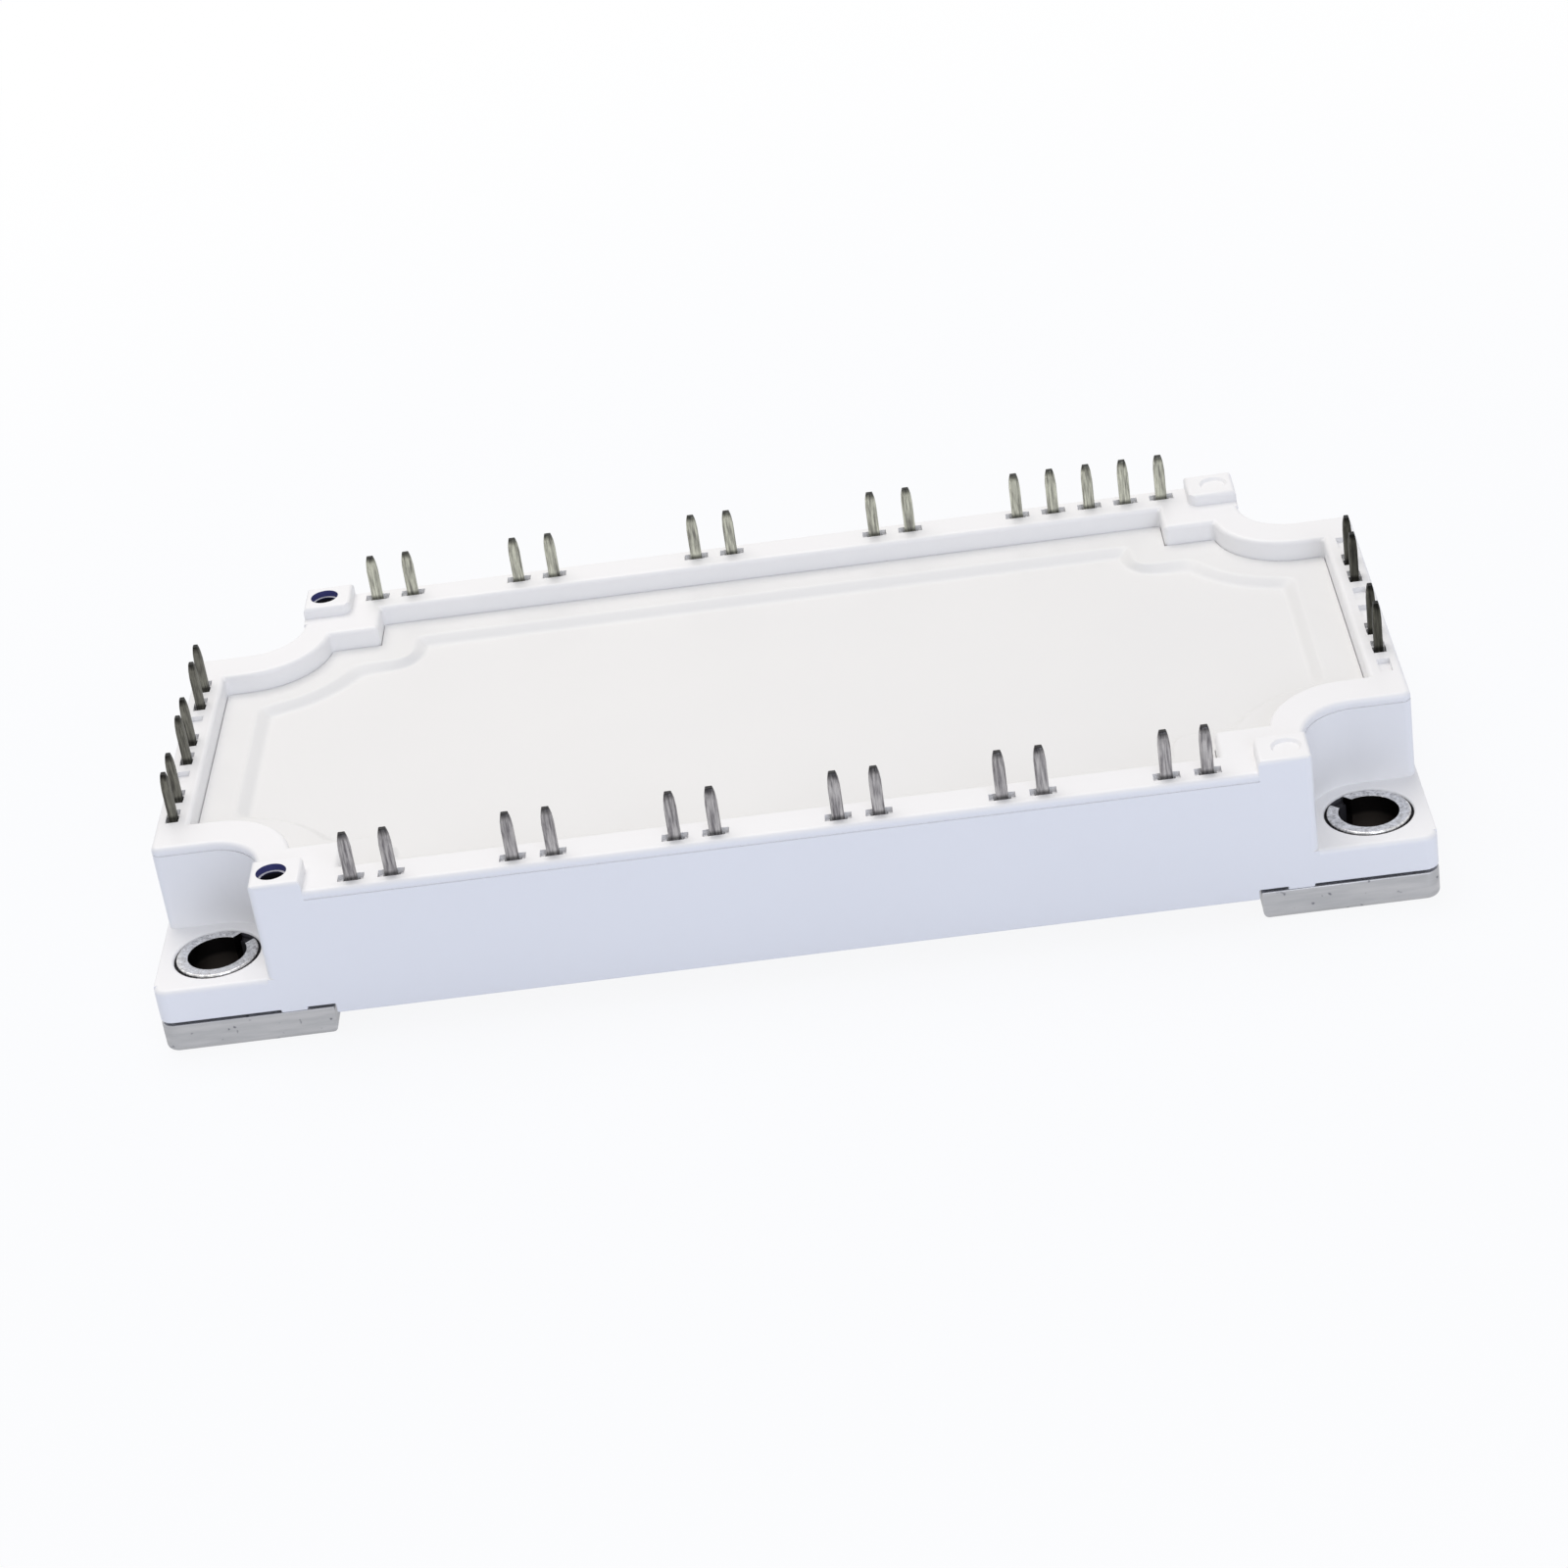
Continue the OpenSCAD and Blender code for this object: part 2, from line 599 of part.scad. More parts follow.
// Thermistor: small block that lies across the gap at the end of the right substrate
module thermistor() {
    x = substrate_step + copper_len / 2 - pin_track_w;
    y = row_y(1, 2) - row_pitch(1) / 2;
    color("#33363c") translate([x - thermistor_w / 2, y - thermistor_len / 2, chip_z])
        cube([thermistor_w, thermistor_len, thermistor_h]);
}

// Bond wire along X from the origin: it starts on a surface, rises in a loop and ends at a drop below
module bond_wire(span, drop) {
    function height(u) = 4 * wire_loop * u * (1 - u) - drop * u;
    under = [for (i = [0:wire_steps]) [i / wire_steps * span, height(i / wire_steps)]];
    over = [for (i = [wire_steps:-1:0]) [i / wire_steps * span, height(i / wire_steps) + wire_d]];
    translate([0, wire_d / 2, 0]) rotate([90, 0, 0]) linear_extrude(wire_d) polygon(concat(under, over));
}

// Wires between the two chips of each row, three abreast
module chip_wires() {
    span = 2 * chip_x;
    color("#d9dadc") for (place = [-1:1], row = [0:row_count(place) - 1], lane = [-1:1])
        translate([place * substrate_step - chip_x, row_y(place, row) + lane * wire_pitch, chip_top])
            bond_wire(span, 0);
}

// Wires from the feet of the pins down to the tracks of the substrates
module pin_wire(from, to) {
    translate([0, from, foot_ledge + pin_t]) rotate([0, 0, -90])
        bond_wire(from - to, foot_ledge + pin_t - chip_z);
}

module pin_wires() {
    track_y = (copper_w - pin_track_w) / 2;
    track_x = substrate_step + copper_len / 2 - pin_track_w / 2;
    color("#d9dadc") {
        in_front_row(front_slots) pin_wire(foot_end_y + wire_back, track_y);
        in_rear_row(rear_slots) pin_wire(foot_end_y + wire_back, track_y);
        in_left_row(left_slots) pin_wire(foot_end_x + wire_back, track_x);
        in_right_row(right_slots) pin_wire(foot_end_x + wire_back, track_x);
    }
}

// Gel that fills the cavity over the chips and wires
module silicone_gel() {
    color("#dfe6ea") difference() {
        union() {
            translate([0, 0, foot_ledge]) linear_extrude(gel_top - foot_ledge) {
                square([2 * cavity_x, 2 * ledge_y], center = true);
                square([2 * ledge_x, 2 * bay_y], center = true);
            }
            translate([0, 0, chip_z]) linear_extrude(foot_ledge - chip_z) cavity_outline(0);
        }
        all_pins();
        pin_wires();
        chip_wires();
        transistor_chips();
        freewheel_diodes();
        rectifier_diodes();
        thermistor();
    }
}

// All the pins, which leave room for their feet in the gel
module all_pins() {
    in_front_row(front_slots) pin(pin_row_y, foot_end_y);
    in_rear_row(rear_slots) pin(pin_row_y, foot_end_y);
    in_left_row(left_slots) pin(pin_row_x, foot_end_x);
    in_right_row(right_slots) pin(pin_row_x, foot_end_x);
}

baseplate();
housing_frame();
lid();
mirror([1, 0, 0]) mirror([0, 1, 0]) bush();  // bush_front_left
mirror([0, 1, 0]) bush();  // bush_front_right
mirror([1, 0, 0]) bush();  // bush_rear_left
bush();  // bush_rear_right
for (i = [1:len(front_slots)])
    in_front_row([front_slots[i - 1]]) pin(pin_row_y, foot_end_y);
for (i = [1:len(rear_slots)])
    in_rear_row([rear_slots[i - 1]]) pin(pin_row_y, foot_end_y);
for (i = [1:len(left_slots)])
    in_left_row([left_slots[i - 1]]) pin(pin_row_x, foot_end_x);
for (i = [1:len(right_slots)])
    in_right_row([right_slots[i - 1]]) pin(pin_row_x, foot_end_x);
frame_adhesive();
ceramic(-1);  // ceramic_left
ceramic(0);  // ceramic_middle
ceramic(1);  // ceramic_right
copper(-1);  // copper_left
copper(0);  // copper_middle
copper(1);  // copper_right
transistor_chips();
freewheel_diodes();
rectifier_diodes();
thermistor();
chip_wires();
pin_wires();
silicone_gel();
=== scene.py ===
# %% [markdown]
# # A power module with solder pins, dressed for its picture
#
# The real object is a flat white plastic frame and lid on a nickel-plated metal baseplate. Thirty-five
# tinned pins stand in rows round its rim, and each corner has a recess with a metal bush for a screw.
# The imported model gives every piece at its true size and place. This lesson keeps those shapes, rounds
# the edges that a mould or a punch leaves round, and gives each piece a finish.

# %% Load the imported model
import math

import bmesh
import bpy
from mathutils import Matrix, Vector


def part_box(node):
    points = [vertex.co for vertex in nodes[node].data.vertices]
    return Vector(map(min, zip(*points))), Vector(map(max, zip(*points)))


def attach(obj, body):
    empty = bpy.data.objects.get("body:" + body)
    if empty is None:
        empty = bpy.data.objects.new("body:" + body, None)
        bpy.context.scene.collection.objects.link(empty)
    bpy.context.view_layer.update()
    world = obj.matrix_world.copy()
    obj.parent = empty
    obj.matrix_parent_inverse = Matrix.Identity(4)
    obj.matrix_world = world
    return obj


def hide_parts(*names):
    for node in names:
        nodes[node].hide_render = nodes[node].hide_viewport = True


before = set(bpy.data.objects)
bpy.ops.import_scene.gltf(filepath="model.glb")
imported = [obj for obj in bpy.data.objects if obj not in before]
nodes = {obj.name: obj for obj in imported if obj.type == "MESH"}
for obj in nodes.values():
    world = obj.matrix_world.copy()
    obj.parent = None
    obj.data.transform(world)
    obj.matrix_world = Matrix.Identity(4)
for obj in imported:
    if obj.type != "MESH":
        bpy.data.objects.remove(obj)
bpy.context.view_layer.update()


# %% [markdown]
# ## Units
#
# Sizes on such a module are known in millimetres, and Blender works in metres. A noise texture's scale is
# the number of its features per metre, so it is worked out from the size of one feature.

# %% Millimetres and pattern scales
MM = 0.001


def per_mm(size):
    """Scale of a texture whose features are about that many millimetres across."""
    return 1 / (size * MM)


print("a grain of 0.3 mm has the scale", round(per_mm(0.3)))


# %% [markdown]
# ## Camera
#
# The photograph was taken from the front, a little to the right and from about 29 degrees above. A camera
# was fitted to the pins, holes and corners, so its place, turn and lens are measured values. The sensor
# keeps Blender's usual 36 mm, and the lens follows from the field of view.

# %% Camera at the photograph's angle
# Place in mm, turn in degrees and lens in mm
CAMERA_PLACE = (18.006, -329.905, 189.559)
CAMERA_TURN = (60.3260, 7.5471, -1.0831)
LENS = 86.284
camera = bpy.data.objects.new("photo_camera", bpy.data.cameras.new("photo_camera"))
bpy.context.collection.objects.link(camera)
camera.location = [v * MM for v in CAMERA_PLACE]
camera.rotation_euler = [math.radians(v) for v in CAMERA_TURN]
camera.data.lens = LENS
camera.data.sensor_width = 36
camera.data.clip_start = 0.01
bpy.context.scene.camera = camera
print("camera", round(camera.location.length / MM), "mm from the middle of the underside")


# %% [markdown]
# ## Colours and nodes
#
# A colour is written as the hex value that a screen shows, and Blender's shaders take linear light, so one
# function turns the first into the second. A second small function adds a node with its settings, its
# fixed inputs and its links, and a third starts a material, so every material below takes a few lines.

# %% Helpers for materials
def colour(hex_value):
    """Linear RGBA of an sRGB hex value."""
    parts = [int(hex_value[i:i + 2], 16) / 255 for i in (1, 3, 5)]
    return [p / 12.92 if p <= 0.04045 else ((p + 0.055) / 1.055) ** 2.4 for p in parts] + [1]


def add(tree, kind, settings=None, values=None, links=None):
    """Adds a node of a kind, with its own settings, its inputs' values and what feeds its inputs."""
    made = tree.nodes.new(kind)
    for name, value in (settings or {}).items():
        setattr(made, name, value)
    for name, value in (values or {}).items():
        made.inputs[name].default_value = value
    for name, source in (links or {}).items():
        tree.links.new(source, made.inputs[name])
    return made


def new_material(name):
    """Empty material with an output. Returns the material, its tree, its shader and its coordinates."""
    made = bpy.data.materials.new(name)
    made.use_nodes = True
    tree = made.node_tree
    tree.nodes.clear()
    shader = add(tree, "ShaderNodeBsdfPrincipled")
    add(tree, "ShaderNodeOutputMaterial", links={"Surface": shader.outputs["BSDF"]})
    place = add(tree, "ShaderNodeTexCoord").outputs["Object"]
    return made, tree, shader, place


print("white plastic is", [round(v, 3) for v in colour("#EDEEF1")])


# %% [markdown]
# ## White moulded polyester
#
# The frame is injection-moulded from glass-filled polyester. Its surface comes from a spark-eroded mould:
# a very fine even grain that makes broad soft highlights, with faint clouds where the plastic flowed. The
# real grain is about 0.05 mm, too fine to show, so it is drawn at 0.2 to 0.25 mm with a very low relief. The
# lid comes from a duller mould, so it is a little greyer and more matt.

# %% Plastic of the frame and the lid
PLASTIC_IOR = 1.57
CLOUD_SIZE = 22


def moulded_polyester(name, light, dark, grain, relief, rough):
    """Moulded plastic with flow clouds between two tones, and an even grain of a size and relief in mm."""
    made, tree, shader, place = new_material(name)
    clouds = add(tree, "ShaderNodeTexNoise", values={"Scale": per_mm(CLOUD_SIZE), "Detail": 3},
                 links={"Vector": place})
    tone = add(tree, "ShaderNodeMix", {"data_type": "RGBA"}, {6: colour(light), 7: colour(dark)},
               {0: clouds.outputs["Fac"]})
    pits = add(tree, "ShaderNodeTexNoise", values={"Scale": per_mm(grain), "Detail": 2},
               links={"Vector": place})
    sheen = add(tree, "ShaderNodeMapRange", values={"To Min": rough - 0.05, "To Max": rough + 0.05},
                links={"Value": pits.outputs["Fac"]})
    bump = add(tree, "ShaderNodeBump", values={"Strength": 0.6, "Distance": relief * MM},
               links={"Height": pits.outputs["Fac"]})
    shader.inputs["IOR"].default_value = PLASTIC_IOR
    tree.links.new(tone.outputs[2], shader.inputs["Base Color"])
    tree.links.new(sheen.outputs["Result"], shader.inputs["Roughness"])
    tree.links.new(bump.outputs["Normal"], shader.inputs["Normal"])
    return made


frame_plastic = moulded_polyester("moulded_polyester_satin", "#F4F4F5", "#F0F0F1",
                                  grain=0.25, relief=0.004, rough=0.42)
lid_plastic = moulded_polyester("moulded_polyester_matt", "#ECECEB", "#E8E8E8",
                                grain=0.2, relief=0.005, rough=0.5)
print("made", frame_plastic.name, "and", lid_plastic.name)


# %% [markdown]
# ## Metals
#
# The baseplate is copper, punched and then plated with dull nickel: a satin grey with a few handling marks
# and faint level tracks on its sheared edges. The bushes are rolled from zinc-plated strip, brighter and
# with fine scratches. The pins are drawn copper wire with a tin coat, so their streaks run lengthways.

# %% Dull nickel, bright zinc and tin
def plated_metal(name, light, dark, streak, rough_min, rough_max, relief):
    """Plated metal with streaks of a size in mm along X, Y and Z between two tones, and a relief in mm.

    Returns the material, its tree, its shader, its coordinates and its tone.
    """
    made, tree, shader, place = new_material(name)
    stretch = add(tree, "ShaderNodeMapping", values={"Scale": [per_mm(s) for s in streak]},
                  links={"Vector": place})
    streaks = add(tree, "ShaderNodeTexNoise", values={"Scale": 1, "Detail": 4, "Roughness": 0.6},
                  links={"Vector": stretch.outputs["Vector"]})
    contrast = add(tree, "ShaderNodeMapRange", values={"From Min": 0.35, "From Max": 0.65},
                   links={"Value": streaks.outputs["Fac"]})
    tone = add(tree, "ShaderNodeMix", {"data_type": "RGBA"}, {6: colour(dark), 7: colour(light)},
               {0: contrast.outputs["Result"]})
    rough = add(tree, "ShaderNodeMapRange", values={"To Min": rough_max, "To Max": rough_min},
                links={"Value": contrast.outputs["Result"]})
    bump = add(tree, "ShaderNodeBump", values={"Strength": 0.5, "Distance": relief * MM},
               links={"Height": streaks.outputs["Fac"]})
    shader.inputs["Metallic"].default_value = 1
    tree.links.new(tone.outputs[2], shader.inputs["Base Color"])
    tree.links.new(rough.outputs["Result"], shader.inputs["Roughness"])
    tree.links.new(bump.outputs["Normal"], shader.inputs["Normal"])
    return made, tree, shader, place, tone.outputs[2]


nickel, nickel_tree, nickel_shader, nickel_place, nickel_tone = plated_metal(
    "nickel_plate_satin", "#BCBCBF", "#AEAFB2",
    streak=(7, 7, 0.9), rough_min=0.4, rough_max=0.5, relief=0.001)
zinc = plated_metal("zinc_plate_bright", "#EEEEEE", "#A3A3A5",
                    streak=(0.35, 0.35, 1.5), rough_min=0.2, rough_max=0.36, relief=0.006)[0]
tin, tin_tree, tin_shader, _, tin_tone = plated_metal(
    "tin_coat_drawn", "#D6D5D6", "#807E82",
    streak=(0.2, 0.2, 2.2), rough_min=0.26, rough_max=0.42, relief=0.006)
print("made", nickel.name, zinc.name, tin.name)

# %% [markdown]
# Each row of pins gets its own painted light and shade: bright at the front, olive at the rear and dark at
# the sides, for how light falls on each row, and painted shade where a pin leaves the rim. The sheared tips
# are darkest. Each point of a pin's mesh carries its own tint for this, and the tin's streaks are multiplied
# by it. The nickel gets a few small dark specks, as handling leaves them.

# %% Painted light and shade on the tin, and specks on the nickel
SPECK_SIZE = 0.8
pin_shade_and_dull_ends = add(tin_tree, "ShaderNodeAttribute", {"attribute_name": "tint"})
tin_with_shade_and_ends = add(tin_tree, "ShaderNodeMix", {"data_type": "RGBA", "blend_type": "MULTIPLY"}, {0: 1.0},
                {6: tin_tone, 7: pin_shade_and_dull_ends.outputs["Color"]})
tin_tree.links.new(tin_with_shade_and_ends.outputs[2], tin_shader.inputs["Base Color"])

specks = add(nickel_tree, "ShaderNodeTexNoise", values={"Scale": per_mm(SPECK_SIZE), "Detail": 1},
             links={"Vector": nickel_place})
few = add(nickel_tree, "ShaderNodeMapRange", values={"From Min": 0.7, "From Max": 0.76},
          links={"Value": specks.outputs["Fac"]})
specked = add(nickel_tree, "ShaderNodeMix", {"data_type": "RGBA"}, {7: colour("#7C7D83")},
              {0: few.outputs["Result"], 6: nickel_tone})
nickel_tree.links.new(specked.outputs[2], nickel_shader.inputs["Base Color"])
print("tin reads the attribute tint, and nickel has specks smaller than", SPECK_SIZE, "mm")


# %% [markdown]
# ## Insides of the holes
#
# Hardly any light reaches the inside of a screw hole or a bush, or the narrow gap round a bush's flange. In
# the photograph they are almost black, with a dark blue cast in the plastic and a brown one in the metal, so
# their
# walls get painted shade: a dark finish that fades between two heights.

# %% Dark walls of painted shade
GRIME_SIZE = 0.6


def dark_wall(name, upper, lower, low, high, rough, metallic):
    """Painted shade that fades from an upper tone to a lower one between two heights in mm."""
    made, tree, shader, place = new_material(name)
    parts = add(tree, "ShaderNodeSeparateXYZ", links={"Vector": place})
    height = add(tree, "ShaderNodeMapRange", values={"From Min": low * MM, "From Max": high * MM},
                 links={"Value": parts.outputs["Z"]})
    grime = add(tree, "ShaderNodeTexNoise", values={"Scale": per_mm(GRIME_SIZE), "Detail": 2},
                links={"Vector": place})
    tone = add(tree, "ShaderNodeMix", {"data_type": "RGBA"}, {6: colour(lower), 7: colour(upper)},
               {0: height.outputs["Result"]})
    worn = add(tree, "ShaderNodeMapRange", values={"To Min": rough - 0.08, "To Max": rough + 0.08},
               links={"Value": grime.outputs["Fac"]})
    shader.inputs["Metallic"].default_value = metallic
    tree.links.new(tone.outputs[2], shader.inputs["Base Color"])
    tree.links.new(worn.outputs["Result"], shader.inputs["Roughness"])
    return made


bore_metal = dark_wall("zinc_plate_in_shade", "#1A1818", "#3E3936",
                       low=4.9, high=5.3, rough=0.45, metallic=1)
hole_plastic = dark_wall("polyester_in_shade", "#3A3D78", "#0B0B14",
                         low=16.1, high=16.4, rough=0.6, metallic=0)
# Painted shade in the narrow gap round each bush's flange
gap_shade_plastic = dark_wall("polyester_in_gap_shade", "#4A4A50", "#26262B",
                        low=6.0, high=6.5, rough=0.6, metallic=0)
print("made", bore_metal.name, hole_plastic.name, gap_shade_plastic.name)


# %% [markdown]
# ## Finishes of the inner pieces
#
# The closed lid hides the circuit, but the pieces are there for anyone who takes the lid off: white sintered
# alumina, bare copper, grey silicon chips, aluminium bond wire, a black thermistor, and a clear soft gel.

# %% Alumina, copper, silicon, wire, thermistor, adhesive and gel
def speckled(name, light, dark, size, rough, **sockets):
    """Finish with specks of a size in mm between two tones. Other values go to the shader's own sockets."""
    made, tree, shader, place = new_material(name)
    specks = add(tree, "ShaderNodeTexNoise", values={"Scale": per_mm(size), "Detail": 3},
                 links={"Vector": place})
    tone = add(tree, "ShaderNodeMix", {"data_type": "RGBA"}, {6: colour(light), 7: colour(dark)},
               {0: specks.outputs["Fac"]})
    bump = add(tree, "ShaderNodeBump", values={"Strength": 0.4, "Distance": 0.003 * MM},
               links={"Height": specks.outputs["Fac"]})
    shader.inputs["Roughness"].default_value = rough
    for socket, value in sockets.items():
        shader.inputs[socket.replace("_", " ")].default_value = value
    tree.links.new(tone.outputs[2], shader.inputs["Base Color"])
    tree.links.new(bump.outputs["Normal"], shader.inputs["Normal"])
    return made


alumina = speckled("sintered_alumina", "#F4F2EC", "#E9E6DE", size=0.4, rough=0.6, IOR=1.76)
copper = speckled("bare_copper", "#D69A73", "#B9764F", size=3, rough=0.32, Metallic=1)
silicon = speckled("silicon_chip", "#8F9298", "#7D8087", size=2, rough=0.25, Metallic=1)
wire = speckled("aluminium_wire", "#DADBDD", "#C5C6C9", size=0.5, rough=0.3, Metallic=1)
thermistor_body = speckled("black_epoxy", "#2F3238", "#26282D", size=0.5, rough=0.5, IOR=1.55)
adhesive = speckled("silicone_adhesive", "#DDDDD8", "#D2D2CC", size=1.5, rough=0.45, IOR=1.41)
gel = speckled("silicone_gel", "#EEF2F4", "#E6ECEF", size=6, rough=0.12, IOR=1.41, Transmission_Weight=0.9)
print("made seven finishes for the inner pieces")


# %% [markdown]
# ## Moulded and punched edges
#
# A CAD solid has knife-sharp edges, and no real moulding has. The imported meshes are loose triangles, so a
# copy is merged and its flat faces are joined first. Edges sharper than 35 degrees are then rounded group by
# group, because a moulding is softest round the lid and crisp at its small pockets. Edges too short for their
# group's width stay sharp. Weighted normals keep the flat faces flat, so that only the roundings catch light.

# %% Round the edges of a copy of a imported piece
SHARP = math.radians(35)
FLAT = math.radians(0.5)
# Distance in mm at which two points are one, and the number of faces across a rounding
SAME_PLACE, ACROSS = 0.002, 3


def merged_copy(node, kept_low=0, kept_high=0):
    """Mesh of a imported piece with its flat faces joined, but not those between two heights in mm."""
    work = bmesh.new()
    work.from_mesh(nodes[node].data)
    bmesh.ops.remove_doubles(work, verts=work.verts, dist=SAME_PLACE * MM)
    verts = [v for v in work.verts if not kept_low < v.co.z / MM < kept_high]
    edges = [e for e in work.edges if not all(kept_low < v.co.z / MM < kept_high for v in e.verts)]
    bmesh.ops.dissolve_limit(work, angle_limit=FLAT, verts=verts, edges=edges)
    return work


def middle_of(edge):
    """Middle of an edge in mm."""
    return (edge.verts[0].co + edge.verts[1].co) / (2 * MM)


def round_edges(work, width, chosen, shortest=1.5):
    """Rounds the sharp edges that a test picks, by a width in mm. Returns their number.

    Edges that meet one shorter than that many widths are left as they are.
    """
    work.normal_update()
    short = {v for e in work.edges if e.calc_length() < shortest * width * MM for v in e.verts}
    edges = [e for e in work.edges if e.calc_face_angle(0) > SHARP and chosen(e)
             and not any(v in short for v in e.verts)]
    bmesh.ops.bevel(work, geom=edges, offset=width * MM, segments=ACROSS, profile=0.5, affect="EDGES",
                    clamp_overlap=True)
    return len(edges)


def finished_piece(work, name, finishes, wall_finish=None):
    """Object from a rounded mesh. wall_finish numbers a face's finish, from its middle in mm and normal."""
    work.normal_update()
    for edge in work.edges:
        edge.smooth = edge.calc_face_angle(0) < SHARP
    for face in work.faces:
        face.smooth = True
        if wall_finish:
            face.material_index = wall_finish(face.calc_center_median() / MM, face.normal)
    mesh = bpy.data.meshes.new(name)
    work.to_mesh(mesh)
    work.free()
    for finish in finishes:
        mesh.materials.append(finish)
    piece = bpy.data.objects.new(name, mesh)
    bpy.context.collection.objects.link(piece)
    normals = piece.modifiers.new("normals", "WEIGHTED_NORMAL")
    normals.keep_sharp = True
    normals.weight = 100
    graph = bpy.context.evaluated_depsgraph_get()
    baked = bpy.data.meshes.new_from_object(piece.evaluated_get(graph))
    piece.modifiers.clear()
    piece.data = baked
    baked.name = name
    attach(piece, "root")
    print(name, "has", len(baked.polygons), "faces")
    return piece


print("edges sharper than", round(math.degrees(SHARP)), "degrees are rounded by", ACROSS, "faces each")


# %% [markdown]
# ## Frame
#
# The frame is one moulding. The walls round the lid have the softest edges, the seats of the bushes a bright
# lip, and the pockets of the pins stay crisp. The places of the lid, bushes and pin rows are read from the
# imported pieces. The two open screw holes and the seats get the dark walls of painted shade.

# %% Places on the frame, in mm
PIN_THICKNESS = 0.8
LID_X, LID_Y, LID_LEVEL = (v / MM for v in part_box("lid")[1])
bush_low, bush_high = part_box("bush_rear_right")
HOLE_X, HOLE_Y = ((bush_low[i] + bush_high[i]) / 2 / MM for i in (0, 1))
ROW_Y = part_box("pin_rear_1")[1][1] / MM - PIN_THICKNESS / 2
ROW_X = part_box("pin_right_1")[1][0] / MM - PIN_THICKNESS / 2
SCREW_X, SCREW_Y = 47.4, 28.5
# Heights of the standoffs' tops, of the rim and of the ears' upper faces
STANDOFF, RIM, EAR = 17, 15.8, 6.8
# The fine groove round the outer walls lies between these heights
CREASE = (14.8, 15.2)
# Half width of the strip of rim that a row of pins stands in, and how far these strips reach along X and Y
STRIP, STRIP_ENDS = 0.95, (45, 16)
# Radii of a bush's seat in the frame, of its tube and bore, and of the mouth of a screw hole
SEAT, TUBE, BORE, MOUTH = 4.2, 3.5, 2.85, 1.45
# Radius round a bush that reaches past the walls of its recess
RECESS = 6.5
# Margins by which a face or an edge may lie beyond a radius and still belong to it
HAIR, LIP = 0.03, 0.25


def from_bush(place):
    """Distance of a place from the axis of the nearest bush."""
    return math.hypot(abs(place.x) - HOLE_X, abs(place.y) - HOLE_Y)


def from_screw(place):
    """Distance of a place from the axis of the nearest standoff's hole."""
    return math.hypot(abs(place.x) - SCREW_X, abs(place.y) - SCREW_Y)


def at_pins(place):
    """True in the strips of the rim where the pins stand."""
    long_rows = abs(abs(place.y) - ROW_Y) < STRIP and abs(place.x) < STRIP_ENDS[0]
    short_rows = abs(abs(place.x) - ROW_X) < STRIP and abs(place.y) < STRIP_ENDS[1]
    return place.z > LID_LEVEL - 0.7 and (long_rows or short_rows)


def at_lid(place, border):
    """True for a place over the lid's outline or within a border round it."""
    return abs(place.x) < LID_X + border and abs(place.y) < LID_Y + border


print("bushes at", round(HOLE_X, 2), round(HOLE_Y, 2), "and pin rows at", round(ROW_X, 2), round(ROW_Y, 2))


# %% Which edges of the frame are rounded alike
def round_the_lid(edge):
    """True for the edges of walls that face the lid."""
    place = middle_of(edge)
    facing = [f for f in edge.link_faces
              if abs(f.normal.z) < 0.5 and f.normal.x * place.x + f.normal.y * place.y < -1]
    return bool(facing) and place.z > LID_LEVEL - 1.2 and at_lid(place, 1)


def bush_seat(edge):
    """True for the lips of the seats of the bushes."""
    return from_bush(middle_of(edge)) < SEAT + LIP and middle_of(edge).z > EAR - 0.3


def screw_mouth(edge):
    """True for the lips of the mouths of the screw holes."""
    return from_screw(middle_of(edge)) < MOUTH + LIP and middle_of(edge).z > STANDOFF - 0.1


def outside(edge):
    """True for the other edges that can be seen."""
    place = middle_of(edge)
    under_lid = at_lid(place, 0.4) and from_bush(place) > RECESS
    creased = all(CREASE[0] < v.co.z / MM < CREASE[1] for v in edge.verts)
    in_hole = from_bush(place) < SEAT + LIP or from_screw(place) < MOUTH + LIP
    return not (at_pins(place) or under_lid or creased or in_hole)


# Width of the rounding in mm, and the edges that get it
FRAME_EDGES = ((0.5, round_the_lid), (0.25, bush_seat), (0.1, screw_mouth), (0.13, outside))
print("groups of edges:", [test.__name__ for _, test in FRAME_EDGES])


# %% Dress the frame
def frame_wall(place, normal):
    """Finish of the frame's faces: 1 for painted shade in the screw holes, 2 for painted shade in the seats of
    the bushes, else 0.
    """
    open_hole = place.x < 0 and from_screw(place) < MOUTH + HAIR
    if open_hole and (abs(normal.z) < 0.5 or place.z < STANDOFF - 1):
        return 1
    return 2 if from_bush(place) < SEAT + HAIR and place.z < EAR - 0.2 else 0


frame_work = merged_copy("housing_frame", *CREASE)
print("rounded", [round_edges(frame_work, width, chosen) for width, chosen in FRAME_EDGES])
frame_finishes = (frame_plastic, hole_plastic, gap_shade_plastic)
frame_piece = finished_piece(frame_work, "moulded_frame", frame_finishes, frame_wall)
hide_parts("housing_frame")


# %% [markdown]
# ## Lid
#
# The lid's middle is a shallow dish. A mould gives such a step round corners and a slope, so the outline of
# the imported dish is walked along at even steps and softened, and rows of points below it make the slope. Two
# faces then fill the lid's border between the dish and the rounded outer edge.

# %% Lid's outer walls and edge
def lid_rim(edge):
    """True for the lid's upper outer edge, whose side faces outwards."""
    place = middle_of(edge)
    outer = any(f.normal.x * place.x + f.normal.y * place.y > 1 for f in edge.link_faces)
    return outer and place.z > LID_LEVEL - 0.1


